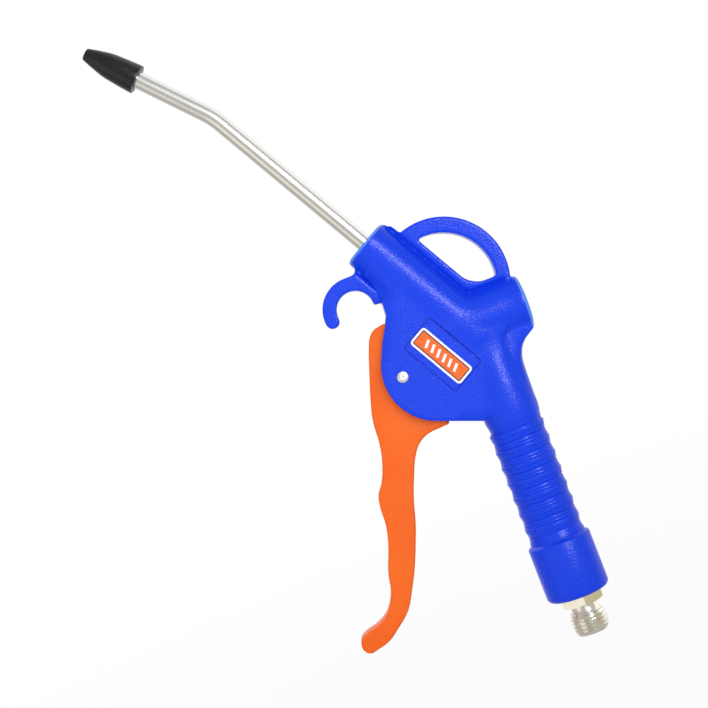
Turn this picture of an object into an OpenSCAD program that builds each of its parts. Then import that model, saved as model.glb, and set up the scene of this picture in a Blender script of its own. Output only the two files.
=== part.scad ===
// Pneumatic air duster: a hand-held blow gun with a pull lever, a bent steel
// nozzle and a rubber tip. Millimetres. The origin is the centre of the inlet's
// end face, +Z runs up the grip, the nozzle points to -X and up, and the lever
// and the loop lie in the XZ plane.

/* [Air inlet] */
// Outside diameter of the inlet thread
thread_d = 13.16; // [12:0.02:15]
// Length of the full thread
thread_l = 6.8; // [5:0.1:12]
// Chamfer at the end of the thread
thread_chamfer = 0.9; // [0.5:0.1:1.2]
// Length of the thread's tapered runout
runout_l = 1.6; // [1:0.1:3]
// Diameter of the neck between thread and hexagon
neck_d = 10.2; // [9:0.1:11]
// Length of the neck
neck_l = 2.4; // [1:0.1:4]
// Width across the flats of the hexagon
hex_af = 14; // [13:0.25:15]
// Height of the hexagon
hex_l = 4.6; // [3.5:0.1:6]
// Turn of the hexagon about the grip, in degrees
hex_turn = 37; // [0:1:60]
// Room round the hexagon's corners in the collar
hex_room = 0.6; // [0.4:0.1:1]
// Depth of the hexagon in the collar
hex_seat = 1.5; // [1:0.1:2]
// Thickness of the sealing washer over the hexagon
inlet_washer_t = 1; // [0.5:0.1:2]
// Diameter of the connector's spigot
spigot_d = 10.8; // [10:0.1:11.4]
// Length of the connector's spigot
spigot_l = 12.5; // [9:0.5:14]
// Bore of the connector
inlet_bore_d = 7; // [5:0.1:7.5]

/* [Grip] */
// Diameter of the collar at the foot of the grip
collar_d = 22.3; // [21:0.1:25]
// Height of the collar
collar_l = 19.8; // [18:0.1:25]
// Rounding of the collar's bottom edge
collar_round = 2; // [0.5:0.1:2.2]
// Rounding of the collar's top edge
collar_top_round = 0.8; // [0.4:0.1:1.5]
// Mean diameter of the ribbed grip
grip_d = 19.1; // [18:0.1:20.5]
// Height of the ribs' wave above and below that diameter
wave_h = 0.28; // [0.1:0.02:0.5]
// Pitch of the ribs
wave_pitch = 5.67; // [5:0.01:6.2]
// Number of ribs
waves = 9; // [5:1:9]
// First rib's height over the collar
first_wave = 1.7; // [1:0.1:3]
// Height over which the grip flattens into the cheeks
grip_blend_l = 20; // [14:0.5:22]
// Diameter of the moulded-in thread insert
insert_d = 13.8; // [13:0.1:15]
// Length of the thread insert
insert_l = 14; // [12:0.5:16]
// Bore of the air passage in the body
air_bore_d = 5; // [4:0.1:6]

/* [Body] */
// Height of the valve's axis over the inlet's end face
valve_h = 115; // [112:0.5:120]
// Diameter of the rear boss round the valve
boss_d = 17.6; // [17:0.1:20]
// Reach of the boss behind the grip's axis
boss_l = 19; // [18:0.5:24]
// Chamfer on the boss's rim
boss_chamfer = 0.5; // [0.3:0.1:0.7]
// Thickness over the cheeks
cheek_t = 16; // [15.5:0.1:17]
// Radius of the cheeks' round front
cheek_r = 19; // [18.5:0.1:20]
// Distance of the cheeks' centre in front of the grip's axis
cheek_fwd = 18; // [17.5:0.1:18.5]
// Drop of the cheeks' centre below the valve's axis
cheek_drop = 9.9; // [9:0.1:10.5]
// Height of the corner where the cheeks' lower edge meets the grip
heel_h = 81.5; // [80:0.5:83]
// Thickness of the web between the grip and the rear boss
web_t = 11; // [9:0.5:12]
// Radius of the web's hollow behind the grip
web_r = 20; // [16:0.5:24]

/* [Nose and tube] */
// Distance of the elbow in front of the grip's axis
elbow_fwd = 4.6; // [4:0.1:5]
// Lean of the nose forward from upright, in degrees
nose_lean = 29.2; // [27:0.1:31]
// Diameter of the nose
nose_d = 17.7; // [17:0.1:20]
// Length of the nose from the elbow
nose_l = 43.3; // [40:0.1:48]
// Rounding of the nose's rim
nose_round = 1; // [0.5:0.1:1.5]
// Diameter of the hole in the nose round the tube
nose_hole_d = 7.8; // [7.2:0.1:9]
// Depth of that hole
nose_hole_l = 3; // [2:0.1:5]
// Outside diameter of the tube
tube_d = 6; // [5:0.1:6.4]
// Inside diameter of the tube
tube_bore_d = 4; // [2.5:0.1:4.4]
// Length of the tube from the nose to its bend
tube_straight_l = 64.7; // [40:0.1:150]
// Radius of the tube's bend
tube_bend_r = 30; // [20:1:60]
// Angle of the tube's bend, in degrees
tube_bend = 13.5; // [0.5:0.5:30]
// Bare length of the tube past the bend
tube_end_l = 25.7; // [15:0.1:60]
// Length of the tube inside the rubber tip
tip_grip_l = 12.5; // [10:0.5:14]
// Diameter of the moulded-in nozzle insert
nozzle_insert_d = 10.6; // [10:0.1:11.5]
// Length of the nozzle insert
nozzle_insert_l = 16; // [14:0.5:18]

/* [Rubber tip] */
// Diameter of the tip's rear end
tip_d = 10.2; // [9:0.1:12]
// Diameter of the tip's front end
tip_front_d = 4.1; // [3.6:0.1:5]
// Length of the tip
tip_l = 20; // [18:0.5:26]
// Diameter of the tip's outlet
outlet_d = 2; // [1:0.1:2.5]

/* [Lever] */
// Distance of the lever's pin in front of the grip's axis
pivot_fwd = 30.3; // [30:0.1:30.8]
// Drop of the lever's pin below the valve's axis
pivot_drop = 9.5; // [9.2:0.1:10]
// Reach of the lever below its pin
lever_reach = 84.6; // [83:0.2:88]
// Width of the lever
lever_w = 9.4; // [9:0.1:9.8]
// Diameter of the lever's pin
pin_d = 4.2; // [3:0.1:4.4]
// Depth of the drilled point in each end of the pin
pin_dimple = 0.4; // [0.2:0.1:1]
// Thickness of the lever's wall in front of the stem nut
lever_front_wall = 1.9; // [1.5:0.1:2.2]
// Thickness of the lever's walls beside the stem nut
lever_side_wall = 1.3; // [1.1:0.1:1.4]
// Radius of the lever's claw behind the stem nut
claw_r = 1.2; // [1:0.1:1.4]

/* [Valve] */
// Outside diameter of the valve sleeve
sleeve_d = 12.6; // [12.2:0.1:13]
// Bore of the sleeve behind the seat
piston_bore_d = 7; // [6.6:0.1:7.4]
// Bore of the sleeve's spring chamber
chamber_d = 9.4; // [9:0.1:9.8]
// Distance of the valve seat in front of the grip's axis
seat_fwd = 3.8; // [3.6:0.1:4]
// Reach of the sleeve behind the grip's axis
sleeve_rear = 13.5; // [12.5:0.1:13.8]
// Length of the spring chamber
chamber_l = 10.7; // [10.2:0.1:11]
// Thickness of the body's wall in front of the chamber
gland_wall = 4; // [3.8:0.1:4.2]
// Diameter of the stem's rod
rod_d = 3.4; // [3:0.1:3.5]
// Diameter of the stem's waist behind the seat
waist_d = 4.4; // [4:0.1:4.8]
// Length of the stem's piston
piston_l = 5.5; // [5:0.1:6]
// Distance of the piston behind the grip's axis
piston_back = 5; // [4.9:0.1:5.2]
// Thickness of the rubber valve washer
valve_washer_t = 1.5; // [1.2:0.1:1.8]
// Diameter of the rubber valve washer
valve_washer_d = 8.4; // [8.2:0.1:8.6]
// Thickness of the plate behind the return spring
spring_plate_t = 0.8; // [0.6:0.1:1]
// Thickness of the bush that closes the gland
gland_bush_t = 1.6; // [1.2:0.1:1.8]
// Wire diameter of the return spring
spring_wire = 0.8; // [0.6:0.05:0.8]
// Mean diameter of the return spring's coils
spring_d = 6.4; // [6:0.1:6.8]
// Coils of the return spring
spring_coils = 4; // [3:0.5:4.5]
// Thickness of the stem nut
stem_nut_t = 2.4; // [2:0.1:2.6]
// Width across the flats of the stem nut
stem_nut_af = 5.5; // [5:0.1:5.7]
// Diameter of the ports in the sleeve
port_d = 4.6; // [4:0.1:4.6]
// Diameter of the end plug's flange
plug_flange_d = 15; // [14.4:0.1:15.2]
// Thickness of the end plug's flange
plug_flange_t = 1; // [0.8:0.1:1.2]
// Width across the flats of the end plug's socket
plug_socket_af = 6; // [5:0.5:7]
// Diameter of the vent through the end plug
vent_d = 1.2; // [0.8:0.1:2]

/* [Seals] */
// Cord diameter of the static seals
seal_cord = 1; // [0.9:0.05:1.1]
// Cord diameter of the piston's and the stem's seals
live_cord = 1.3; // [1.2:0.05:1.4]

/* [Hanging loop] */
// Outer radius of the loop
loop_r = 23; // [22:0.1:26]
// Width of the loop's band
loop_band = 5.4; // [4.5:0.1:6.5]
// Thickness of the loop
loop_t = 8; // [6:0.1:9]
// Height of the loop's centre over the valve's axis
loop_rise = 15.4; // [15:0.1:16]
// Distance of the loop's centre in front of the grip's axis
loop_fwd = 5.5; // [5:0.1:6]
// Width of the loop's flat beside the nose
loop_side = 3.8; // [3:0.1:5]
// Height of the loop's flat over the boss
loop_floor = 2.3; // [1.8:0.1:3]
// Radius in the loop's inner corner
loop_corner_r = 8; // [6:0.5:9]
// Radius in the loop's two other corners
loop_edge_r = 1.5; // [1:0.1:2]

/* [Hook] */
// Inner radius of the front hook
hook_r = 6.5; // [6:0.1:7]
// Width of the hook's band
hook_band = 4.9; // [4:0.1:5.5]
// Thickness of the hook
hook_t = 7.5; // [6:0.1:9]
// Distance of the hook's centre in front of the grip's axis
hook_fwd = 37; // [36.6:0.1:37.2]
// Height of the hook's centre over the valve's axis
hook_rise = 17.8; // [17.5:0.1:18.2]

/* [Label] */
// Length of the label's recess
recess_l = 23.4; // [22:0.1:24]
// Width of the label's recess
recess_w = 14.2; // [12:0.1:14.6]
// Depth of the label's recess
recess_depth = 0.4; // [0.35:0.05:0.5]
// Length of the label
label_l = 22.2; // [16:0.1:23]
// Width of the label
label_w = 7.4; // [5:0.1:9]
// Thickness of the label
label_t = 0.35; // [0.2:0.05:0.35]
// Shift of the label towards the front of its recess
label_shift = 0.6; // [0:0.1:1]

/* [Fits] */
// Radial clearance of pieces that turn or slide
run_clearance = 0.05; // [0.02:0.01:0.09]
// Radial clearance of pieces that stay put
seat_clearance = 0.02; // [0.01:0.01:0.04]
// Gap on each side of the lever in its slot
slot_gap = 0.3; // [0.2:0.05:0.4]

/* [Hidden] */
$fn = 64;
overrun = collar_round / 2;
hex_z = thread_l + runout_l + neck_l;
hex_top = hex_z + hex_l;
collar_z = hex_top - hex_seat;
collar_top = collar_z + collar_l;
insert_z = hex_top + inlet_washer_t;
insert_top = insert_z + insert_l;
hex_corner_d = hex_af / cos(30);
hex_recess_d = hex_corner_d + 2 * hex_room;

wave_z = collar_top + first_wave;
wave_end = wave_z + (waves - 0.5) * wave_pitch;
// Width of the grip's top inside the cheeks, as a share of their thickness
grip_top_share = 0.965;
grip_top_d = grip_top_share * cheek_t;
// One rib: shares of the pitch, and of the wave's height, round its crest and its valley
rib_shares = [
    [-0.05, 1], [0, 0.1], [0.05, 1], [0.18, 0.45], [0.32, -0.5],
    [0.45, -1], [0.5, -1.8], [0.55, -1], [0.68, -0.5], [0.82, 0.45]
];

valve_front = seat_fwd + chamber_l;
slot_rear = valve_front + gland_wall;
slot_w = lever_w + 2 * slot_gap;
// Diameter of the ball that rounds the elbow, as a share of the nose's or boss's
elbow_share = 0.985;
// Height of the slot's ceiling over the valve's axis, as a share of the cheeks' radius
slot_top_share = 0.6;
slot_top = valve_h + slot_top_share * cheek_r;
// Room behind the lever's tail, and its height, as shares of the reach and the cheeks' radius
tail_room_share = 0.065;
tail_drop_share = 0.65;
tail_rear = slot_rear - tail_room_share * lever_reach;
pivot_x = -pivot_fwd;
pivot_z = valve_h - pivot_drop;
cheek_centre = [-cheek_fwd, valve_h - cheek_drop];
// The brow over the lever's head, in shares of the cheeks' radius from their centre
brow_shares = [[-0.505, 1.37], [-0.526, 1.16], [-0.6, 1.005], [-0.763, 0.737]];
heel = [-grip_d / 2, heel_h];

hook_centre = [-hook_fwd, valve_h + hook_rise];
hook_end = 187;
loop_centre = [-loop_fwd, valve_h + loop_rise];

// Reach of the stem past its nut's rear face, as a share of the nut's thickness
rod_end_share = 1.3;
nut_x = pivot_x - claw_r - run_clearance;
rod_front = nut_x - rod_end_share * stem_nut_t;
// Depth of the end plug's front face, as a share of its flange's thickness
plug_sink_share = 1.3;
plug_x = boss_l - plug_sink_share * plug_flange_t;
plug_seal_x = (sleeve_rear + plug_x) / 2;
plate_x = -seat_fwd - valve_washer_t;
spring_x = plate_x - spring_plate_t;
bush_x = -valve_front + gland_bush_t;
piston_seal_x = piston_back + piston_l / 2;
rear_seal_x = piston_back + piston_l / 5;

// Widths of the seals' grooves, as a share of their cords
groove_share = 1.4;
groove_w = groove_share * seal_cord;
live_groove_w = groove_share * live_cord;
// Cords left after they are pressed into their grooves
seal_share = 0.9;
live_seal_share = 0.96;

nozzle_insert_top = nose_l - nose_hole_l;
nozzle_insert_z = nozzle_insert_top - nozzle_insert_l;
nozzle_seal_z = nozzle_insert_z + nozzle_insert_l / 3;
// Height of the tube's foot in its insert, as a share of the insert
tube_foot_share = 0.16;
tube_foot = nozzle_insert_z + tube_foot_share * nozzle_insert_l;
bend_z = nose_l + tube_straight_l;
// The tip's outline: shares of its length, and of its taper
tip_shares = [
    [0, 0.88], [0.015, 0.95], [0.03, 1], [0.5, 0.82], [0.58, 0.745], [0.66, 0.63], [1, 0]
];

// The label's centre, in shares of the cheeks' radius from their centre
label_shares = [0.163, 0.147];
label_centre = cheek_centre + cheek_r * label_shares;

// The lever's pocket: its front and its height, in shares of the lever's reach
face_share = 0.1;
pocket_share = 0.137;
pocket_w = lever_w - 2 * lever_side_wall;
claw_gap = rod_d + 2 * slot_gap;
// The lever's side outline, in shares of its reach from the centre of its pin
lever_shares = [
    [0.013, 0.227], [-0.017, 0.225], [-0.044, 0.217], [-0.065, 0.197], [-0.085, 0.157],
    [-0.118, 0.065], [-0.145, -0.03], [-0.168, -0.125], [-0.178, -0.226], [-0.203, -0.312],
    [-0.233, -0.374], [-0.264, -0.42], [-0.273, -0.46], [-0.278, -0.538], [-0.299, -0.623],
    [-0.34, -0.73], [-0.355, -0.798], [-0.375, -0.84], [-0.407, -0.879], [-0.453, -0.905],
    [-0.508, -0.92], [-0.532, -0.933], [-0.544, -0.957], [-0.54, -0.983], [-0.521, -1],
    [-0.487, -0.996], [-0.429, -0.979], [-0.382, -0.947], [-0.317, -0.892], [-0.27, -0.816],
    [-0.229, -0.738], [-0.189, -0.644], [-0.162, -0.574], [-0.135, -0.483], [-0.098, -0.389],
    [-0.063, -0.316], [-0.028, -0.274], [0.017, -0.252], [0.084, -0.246], [0.112, -0.239],
    [0.104, -0.229], [0.083, -0.165], [0.066, -0.083], [0.061, 0], [0.059, 0.095],
    [0.052, 0.177], [0.039, 0.216]
];

function arc(centre, r, from, to, steps) =
    [for (i = [0:steps]) let (a = from + (to - from) * i / steps) centre + r * [cos(a), sin(a)]];

// A closed curve through hand-chosen points
function curve_point(a, b, c, d, t) =
    0.5 * (2 * b + (c - a) * t + (2 * a - 5 * b + 4 * c - d) * t * t
        + (3 * b - a - 3 * c + d) * t * t * t);
function closed_curve(p, steps) =
    [for (i = [0:len(p) - 1], j = [0:steps - 1])
        curve_point(p[i], p[(i + 1) % len(p)], p[(i + 2) % len(p)], p[(i + 3) % len(p)], j / steps)];

// Sets an outline of X and Z upright, with its thickness across Y
module upright(thickness) {
    rotate([90, 0, 0])
        linear_extrude(height = thickness, center = true)
            children();
}

// Carries pieces on the valve's axis, with their own Z along +X
module on_valve(x) {
    translate([x, 0, valve_h])
        rotate([0, 90, 0])
            children();
}

// Carries pieces on the nose's axis, with their own Z towards the tip
module on_nose(z) {
    translate([-elbow_fwd, 0, valve_h])
        rotate([0, -nose_lean, 0])
            translate([0, 0, z])
                children();
}

// Carries pieces on the tube's axis past its bend
module past_bend(z) {
    on_nose(bend_z)
        translate([-tube_bend_r, 0, 0])
            rotate([0, -tube_bend, 0])
                translate([tube_bend_r, 0, z])
                    children();
}

module ring(outer_d, inner_d, l) {
    difference() {
        cylinder(d = outer_d, h = l);
        translate([0, 0, -overrun])
            cylinder(d = inner_d, h = l + 2 * overrun);
    }
}

module seal_ring(outer_d, inner_d) {
    cord = (outer_d - inner_d) / 2;
    rotate_extrude()
        translate([inner_d / 2 + cord / 2, 0])
            circle(d = cord, $fn = 24);
}

module collar_and_grip() {
    wave_points = [for (k = [0:waves - 1], s = rib_shares)
        [grip_d / 2 + wave_h * s[1], wave_z + (k + s[0]) * wave_pitch]];
    blend_z = wave_end + wave_pitch / 2;
    blend_points = [for (i = [0:8]) let (t = i / 8)
        [grip_top_d / 2 + (grip_d - grip_top_d) / 2 * sqrt(1 - t * t), blend_z + grip_blend_l * t]];
    rotate_extrude()
        polygon(concat(
            [[0, collar_z]],
            arc([collar_d / 2 - collar_round, collar_z + collar_round], collar_round, -90, 0, 6),
            arc([collar_d / 2 - collar_top_round, collar_top - collar_top_round],
                collar_top_round, 0, 90, 4),
            [[grip_d / 2 - wave_h, collar_top]],
            wave_points,
            blend_points,
            [[0, blend_z + grip_blend_l]]
        ));
}

module rear_web() {
    web_foot = heel_h;
    hollow_share = 0.52;
    hollow_z = heel_h + hollow_share * web_r;
    web_x = grip_d / 2 + 2 * wave_h;
    boss_foot = valve_h - boss_d / 2;
    intersection() {
        rotate_extrude()
            polygon(concat(
                [[0, web_foot], [grip_d / 2 - 2 * wave_h, web_foot], [web_x, hollow_z]],
                arc([web_x + web_r, hollow_z], web_r, 180, 145, 8),
                [[boss_l, boss_foot], [boss_l, boss_foot + 2 * boss_chamfer],
                    [boss_l - boss_chamfer, valve_h - boss_d / 3], [0, valve_h - boss_d / 3]]
            ));
        translate([0, -web_t / 2, 0])
            cube([boss_l + overrun, web_t, valve_h]);
    }
}

module cheeks() {
    grip_side = grip_d / 2 - boss_d / 5;
    upright(cheek_t)
        polygon(concat(
            [for (s = brow_shares) cheek_centre + cheek_r * s],
            arc(cheek_centre, cheek_r, 152, 252, 24),
            [heel, [grip_side / 2, heel_h + grip_side / 2], [grip_side, valve_h - boss_d / 2],
                [boss_l / 2, valve_h - boss_d / 3], [boss_l / 2, valve_h],
                [-elbow_fwd, valve_h], [-elbow_fwd - sin(nose_lean) * nose_l / 2,
                    valve_h + cos(nose_lean) * nose_l / 2]]
        ));
}

module nose() {
    on_nose(0)
        rotate_extrude()
            polygon(concat(
                [[0, 0], [nose_d / 2, 0]],
                arc([nose_d / 2 - nose_round, nose_l - nose_round], nose_round, 0, 90, 5),
                [[0, nose_l]]
            ));
}

module boss() {
    boss_run = boss_l + elbow_fwd;
    on_valve(-elbow_fwd)
        rotate_extrude()
            polygon([
                [0, 0], [boss_d / 2, 0], [boss_d / 2, boss_run - boss_chamfer],
                [boss_d / 2 - boss_chamfer, boss_run], [0, boss_run]
            ]);
}

// The quarter above the boss and behind the nose, moved out from their axes
module behind_nose(from_nose, from_boss) {
    far = 3 * loop_r;
    corner = [-elbow_fwd + from_nose / cos(nose_lean) - from_boss * tan(nose_lean),
        valve_h + from_boss];
    polygon([corner, corner + [far, 0], corner + [far, far],
        corner + far * [-sin(nose_lean), cos(nose_lean)]]);
}

module hanging_loop() {
    upright(loop_t)
        difference() {
            intersection() {
                translate(loop_centre)
                    circle(r = loop_r);
                behind_nose(0, 0);
            }
            offset(r = loop_edge_r)
                offset(delta = -loop_edge_r)
                    intersection() {
                        translate(loop_centre)
                            circle(r = loop_r - loop_band);
                        offset(r = loop_corner_r)
                            offset(delta = -loop_corner_r)
                                behind_nose(nose_d / 2 + loop_side, boss_d / 2 + loop_floor);
                    }
        }
}

module hook() {
    outer_r = hook_r + hook_band;
    mid_r = hook_r + hook_band / 2;
    root = [-slot_rear, hook_centre[1] - hook_r / 4];
    upright(hook_t)
        polygon(concat(
            arc(hook_centre, outer_r, 62, hook_end, 20),
            arc(hook_centre + mid_r * [cos(hook_end), sin(hook_end)],
                hook_band / 2, hook_end, hook_end + 180, 8),
            arc(hook_centre, hook_r, hook_end, -5, 24),
            [root, root + [0, outer_r]]
        ));
}

module slot() {
    far = lever_reach;
    upright(slot_w)
        polygon([
            [-slot_rear, slot_top], [-far, slot_top], [-far, pivot_z - far],
            [-tail_rear, pivot_z - far], [-tail_rear, pivot_z - tail_drop_share * cheek_r],
            [-slot_rear, pivot_z]
        ]);
}

module label_frame() {
    translate([label_centre[0], 0, label_centre[1]])
        rotate([0, -nose_lean, 0])
            children();
}

module body_bores() {
    translate([0, 0, collar_z - overrun])
        cylinder(d = hex_recess_d, h = hex_seat + overrun);
    translate([0, 0, hex_top - overrun])
        cylinder(d = insert_d + 2 * seat_clearance, h = insert_top - hex_top + overrun);
    translate([0, 0, insert_top - overrun])
        cylinder(d = air_bore_d, h = valve_h - insert_top + overrun);
    on_valve(-valve_front)
        cylinder(d = sleeve_d + 2 * seat_clearance, h = valve_front + boss_l + overrun);
    on_valve(plug_x)
        cylinder(d = plug_flange_d + 2 * seat_clearance, h = boss_l - plug_x + overrun);
    on_valve(-valve_front - live_groove_w)
        cylinder(d = rod_d + 2 * live_cord + 2 * seat_clearance, h = live_groove_w + overrun);
    on_valve(-slot_rear - overrun)
        cylinder(d = rod_d + 2 * run_clearance, h = gland_wall + 2 * overrun);
    on_nose(0)
        cylinder(d = air_bore_d, h = nozzle_insert_z + overrun);
    on_nose(nozzle_insert_z)
        cylinder(d = nozzle_insert_d + 2 * seat_clearance, h = nozzle_insert_l);
    on_nose(nozzle_insert_top - overrun)
        cylinder(d = nose_hole_d, h = nose_hole_l + 2 * overrun);
}

module body() {
    color("royalblue")
        difference() {
            union() {
                collar_and_grip();
                rear_web();
                cheeks();
                nose();
                boss();
                translate([-elbow_fwd, 0, valve_h])
                    sphere(d = elbow_share * min(nose_d, boss_d));
                hanging_loop();
                hook();
            }
            body_bores();
            slot();
            translate([pivot_x, 0, pivot_z])
                rotate([90, 0, 0])
                    cylinder(d = pin_d + 2 * seat_clearance, h = cheek_t + 2 * overrun, center = true);
            for (side = [-1, 1])
                label_frame()
                    translate([0, side * (cheek_t / 2 - recess_depth + overrun), 0])
                        cube([recess_w, 2 * overrun, recess_l], center = true);
        }
}

module label(side) {
    plate_y = cheek_t / 2 - recess_depth + label_t / 2;
    corner_r = label_w / 6;
    label_frame()
        translate([-label_shift, side * plate_y, 0])
            rotate([90, 0, 0])
                linear_extrude(height = label_t, center = true)
                    offset(r = corner_r)
                        square([label_w - 2 * corner_r, label_l - 2 * corner_r], center = true);
}

module label_left() {
    color("orangered") label(-1);
}

module label_right() {
    color("orangered") label(1);
}

module grip_insert() {
    color("goldenrod")
        translate([0, 0, insert_z])
            difference() {
                cylinder(d = insert_d, h = insert_l);
                translate([0, 0, -overrun])
                    cylinder(d = spigot_d + 2 * seat_clearance, h = spigot_l + overrun);
                cylinder(d = air_bore_d, h = insert_l + overrun);
            }
}

module inlet_connector() {
    spigot_top = insert_z + spigot_l - inlet_washer_t;
    hex_chamfer = (hex_corner_d - hex_af) / 2;
    color("silver")
        difference() {
            union() {
                rotate_extrude()
                    polygon([
                        [0, 0], [thread_d / 2 - thread_chamfer, 0], [thread_d / 2, thread_chamfer],
                        [thread_d / 2, thread_l], [neck_d / 2, thread_l + runout_l],
                        [neck_d / 2, hex_z + hex_l / 2], [spigot_d / 2, hex_z + hex_l / 2],
                        [spigot_d / 2, spigot_top], [0, spigot_top]
                    ]);
                intersection() {
                    translate([0, 0, hex_z])
                        rotate([0, 0, hex_turn])
                            cylinder(d = hex_corner_d, h = hex_l, $fn = 6);
                    rotate_extrude()
                        polygon([
                            [0, hex_z], [hex_af / 2, hex_z], [hex_corner_d / 2, hex_z + hex_chamfer / 2],
                            [hex_corner_d / 2, hex_top - hex_chamfer / 2], [hex_af / 2, hex_top],
                            [0, hex_top]
                        ]);
                }
            }
            translate([0, 0, -overrun])
                cylinder(d = inlet_bore_d, h = spigot_top + 2 * overrun);
        }
}

module inlet_washer() {
    color("dimgray")
        translate([0, 0, hex_top])
            ring(insert_d - 2 * seat_clearance, spigot_d + 2 * seat_clearance, inlet_washer_t);
}

module valve_sleeve() {
    color("goldenrod")
        difference() {
            on_valve(-valve_front)
                cylinder(d = sleeve_d, h = valve_front + sleeve_rear);
            on_valve(-valve_front - overrun)
                cylinder(d = chamber_d, h = chamber_l + overrun);
            on_valve(-seat_fwd - overrun)
                cylinder(d = piston_bore_d, h = seat_fwd + sleeve_rear + 2 * overrun);
            for (x = [-seat_fwd, rear_seal_x])
                on_valve(x - groove_w / 2)
                    ring(sleeve_d + overrun, sleeve_d - 2 * seal_cord, groove_w);
            translate([0, 0, valve_h - sleeve_d])
                cylinder(d = port_d, h = sleeve_d);
            on_nose(0)
                cylinder(d = port_d, h = sleeve_d);
        }
}

module sleeve_seal(x) {
    color("dimgray")
        on_valve(x)
            seal_ring(sleeve_d, sleeve_d - 2 * seal_share * seal_cord);
}

module sleeve_front_seal() {
    sleeve_seal(-seat_fwd);
}

module sleeve_rear_seal() {
    sleeve_seal(rear_seal_x);
}

module gland_bush() {
    color("goldenrod")
        on_valve(-valve_front)
            ring(chamber_d - 2 * seat_clearance, rod_d + 2 * run_clearance, gland_bush_t);
}

module gland_seal() {
    color("dimgray")
        on_valve(-valve_front - live_groove_w / 2)
            seal_ring(rod_d + 2 * live_cord, rod_d + 2 * run_clearance);
}

module valve_stem() {
    piston_d = piston_bore_d - 2 * run_clearance;
    color("silver")
        difference() {
            union() {
                on_valve(rod_front)
                    cylinder(d = rod_d, h = -rod_front);
                on_valve(-seat_fwd)
                    cylinder(d = waist_d, h = seat_fwd + piston_seal_x);
                on_valve(piston_back)
                    cylinder(d = piston_d, h = piston_l);
            }
            on_valve(piston_seal_x - live_groove_w / 2)
                ring(piston_d + overrun, piston_bore_d - 2 * live_cord, live_groove_w);
        }
}

module piston_seal() {
    color("dimgray")
        on_valve(piston_seal_x)
            seal_ring(piston_bore_d - 2 * run_clearance,
                piston_bore_d - 2 * live_seal_share * live_cord);
}

module valve_washer() {
    color("dimgray")
        on_valve(plate_x)
            ring(valve_washer_d, rod_d + 2 * seat_clearance, valve_washer_t - seat_clearance);
}

module spring_plate() {
    color("goldenrod")
        on_valve(spring_x)
            ring(valve_washer_d - 2 * seat_clearance, rod_d + 2 * seat_clearance, spring_plate_t);
}

// The return spring's wire: rings of points round its helix, with flat ends
module return_spring() {
    room = spring_x - bush_x;
    rise = room - spring_wire - 2 * seat_clearance;
    wire_sides = 8;
    turn_steps = 16;
    rings = round(spring_coils * turn_steps);
    wire_points = [for (i = [0:rings], j = [0:wire_sides - 1])
        let (a = 360 * spring_coils * i / rings, b = 360 * j / wire_sides,
            r = spring_d / 2 + spring_wire / 2 * cos(b))
        [r * cos(a), r * sin(a), rise * i / rings + spring_wire / 2 * (1 + sin(b))]];
    side_faces = [for (i = [0:rings - 1], j = [0:wire_sides - 1])
        let (k = (j + 1) % wire_sides)
        [i * wire_sides + j, (i + 1) * wire_sides + j, (i + 1) * wire_sides + k, i * wire_sides + k]];
    first_end = [for (j = [0:wire_sides - 1]) j];
    last_end = [for (j = [0:wire_sides - 1]) rings * wire_sides + wire_sides - 1 - j];
    color("silver")
        on_valve(bush_x + seat_clearance)
            polyhedron(points = wire_points, faces = concat(side_faces, [first_end, last_end]));
}

module stem_nut() {
    color("goldenrod")
        on_valve(nut_x - stem_nut_t)
            difference() {
                cylinder(d = stem_nut_af / cos(30), h = stem_nut_t, $fn = 6);
                translate([0, 0, -overrun])
                    cylinder(d = rod_d + 2 * seat_clearance, h = stem_nut_t + 2 * overrun);
            }
}

module end_plug() {
    color("goldenrod")
        difference() {
            union() {
                on_valve(sleeve_rear)
                    cylinder(d = sleeve_d, h = plug_x - sleeve_rear);
                on_valve(plug_x)
                    cylinder(d = plug_flange_d, h = plug_flange_t);
            }
            on_valve(plug_seal_x)
                cylinder(d = plug_socket_af / cos(30), h = boss_l, $fn = 6);
            on_valve(sleeve_rear - overrun)
                cylinder(d = vent_d, h = boss_l);
            on_valve(plug_seal_x - groove_w / 2)
                ring(sleeve_d + overrun, sleeve_d - 2 * seal_cord, groove_w);
        }
}

module plug_seal() {
    sleeve_seal(plug_seal_x);
}

module nozzle_insert() {
    color("goldenrod")
        on_nose(nozzle_insert_z)
            difference() {
                cylinder(d = nozzle_insert_d, h = nozzle_insert_l);
                translate([0, 0, -overrun])
                    cylinder(d = tube_bore_d, h = nozzle_insert_l);
                translate([0, 0, tube_foot - nozzle_insert_z])
                    cylinder(d = tube_d + 2 * seat_clearance, h = nozzle_insert_l);
                translate([0, 0, nozzle_seal_z - nozzle_insert_z])
                    cylinder(d = tube_d + 2 * seal_cord, h = groove_w);
            }
}

module nozzle_seal() {
    color("dimgray")
        on_nose(nozzle_seal_z + groove_w / 2)
            seal_ring(tube_d + 2 * seal_cord, tube_d);
}

module nozzle_tube() {
    color("silver") {
        on_nose(tube_foot)
            ring(tube_d, tube_bore_d, bend_z - tube_foot);
        on_nose(bend_z)
            translate([-tube_bend_r, 0, 0])
                rotate([90, 0, 0])
                    rotate_extrude(angle = tube_bend)
                        translate([tube_bend_r, 0])
                            difference() {
                                circle(d = tube_d);
                                circle(d = tube_bore_d);
                            }
        past_bend(0)
            ring(tube_d, tube_bore_d, tube_end_l + tip_grip_l);
    }
}

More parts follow.
